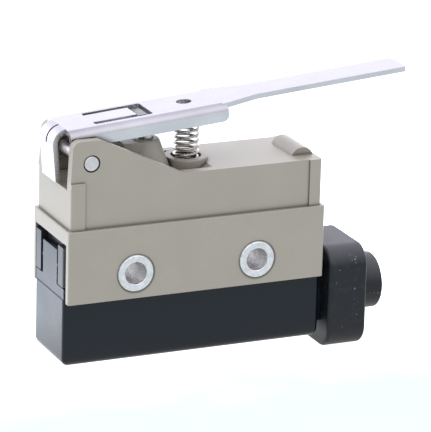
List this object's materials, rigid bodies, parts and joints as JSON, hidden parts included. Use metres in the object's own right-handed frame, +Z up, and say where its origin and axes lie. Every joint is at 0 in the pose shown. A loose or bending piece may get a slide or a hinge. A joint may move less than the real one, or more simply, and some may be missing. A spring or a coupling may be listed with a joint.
{
  "type": "limit switch",
  "caption": "Enclosed snap-action limit switch with a long sheet-metal hinge lever, return spring, screw terminals under a clip-fitted cover, and a rubber cable boot.",
  "frame": {"origin": "midway between the two mounting holes, at mid depth of the case", "axes": "+X along the case from the lever hinge to the cable boot, +Z up towards the lever, -Y the front side"},
  "size_m": [0.0743, 0.0198, 0.0552],
  "materials": {
    "beige_case": "matte, fine moulded texture",
    "steel_pin": "ground steel",
    "eyelet_metal": "nickel-plated brass, bright",
    "lever_steel": "brushed stainless sheet",
    "spring_steel": "bright drawn wire",
    "black_plastic": "satin moulded plastic",
    "black_cover": "fine satin moulded plastic",
    "boot_rubber": "matte moulded rubber",
    "seal_rubber": "soft black rubber",
    "red_plastic": "glossy moulded plastic",
    "brass_strip": "rolled brass strip",
    "contact_silver": "silver alloy",
    "blade_copper": "beryllium copper strip",
    "screw_steel": "zinc-plated steel"
  },
  "bodies": {
    "switch_body": {"case": "beige_case", "hinge_pin": "steel_pin", "mounting_eyelet_left": "eyelet_metal", "mounting_eyelet_right": "eyelet_metal", "lever_spring": "spring_steel", "spring_seat": "black_plastic", "plunger_seal": "seal_rubber", "seal_retainer": "black_plastic", "switch_base": "black_plastic", "base_gasket": "seal_rubber", "terminal_com": "brass_strip", "terminal_no": "brass_strip", "terminal_nc": "brass_strip", "contact_no": "contact_silver", "contact_nc": "contact_silver", "anchor_block": "brass_strip", "anchor_rivet": "brass_strip", "terminal_screws": "screw_steel", "terminal_washers": "screw_steel", "terminal_cover": "black_cover", "cover_gasket": "seal_rubber", "cable_boot": "boot_rubber", "cable_seal": "seal_rubber"},
    "lever": {"hinge_lever": "lever_steel"},
    "plunger": {"plunger": "steel_pin", "overtravel_spring": "spring_steel"},
    "push_button": {"push_button": "red_plastic"},
    "snap_blade": {"snap_blade": "blade_copper", "tension_leaf": "blade_copper", "moving_contact": "contact_silver"}
  },
  "joints": [
    {"name": "lever_pivot", "type": "hinge", "parent": "switch_body", "child": "lever", "pos_m": [-0.0216, 0, 0.0223], "axis": [0, 1, 0], "range_deg": [0, 9.5], "stiffness_Nm_per_rad": 0.12, "springref_deg": -14.32, "deforming": ["lever_spring"]},
    {"name": "plunger_slide", "type": "slide", "parent": "switch_body", "child": "plunger", "axis": [0, 0, -1], "range_m": [0, 0.00245], "deforming": ["overtravel_spring"]},
    {"name": "button_slide", "type": "slide", "parent": "switch_body", "child": "push_button", "axis": [0, 0, -1], "range_m": [0, 0.00036]},
    {"name": "blade_swing", "type": "hinge", "parent": "switch_body", "child": "snap_blade", "pos_m": [-0.0165, 0, 0.0076], "axis": [0, 1, 0], "range_deg": [0, 2.2]}
  ],
  "couplings": [
    {"joint": "plunger_slide", "follows": "lever_pivot", "m_per_rad": 0.014595},
    {"joint": "button_slide", "follows": "lever_pivot", "m_per_rad": 0.00199},
    {"joint": "blade_swing", "follows": "lever_pivot", "ratio": 0.21579}
  ]
}
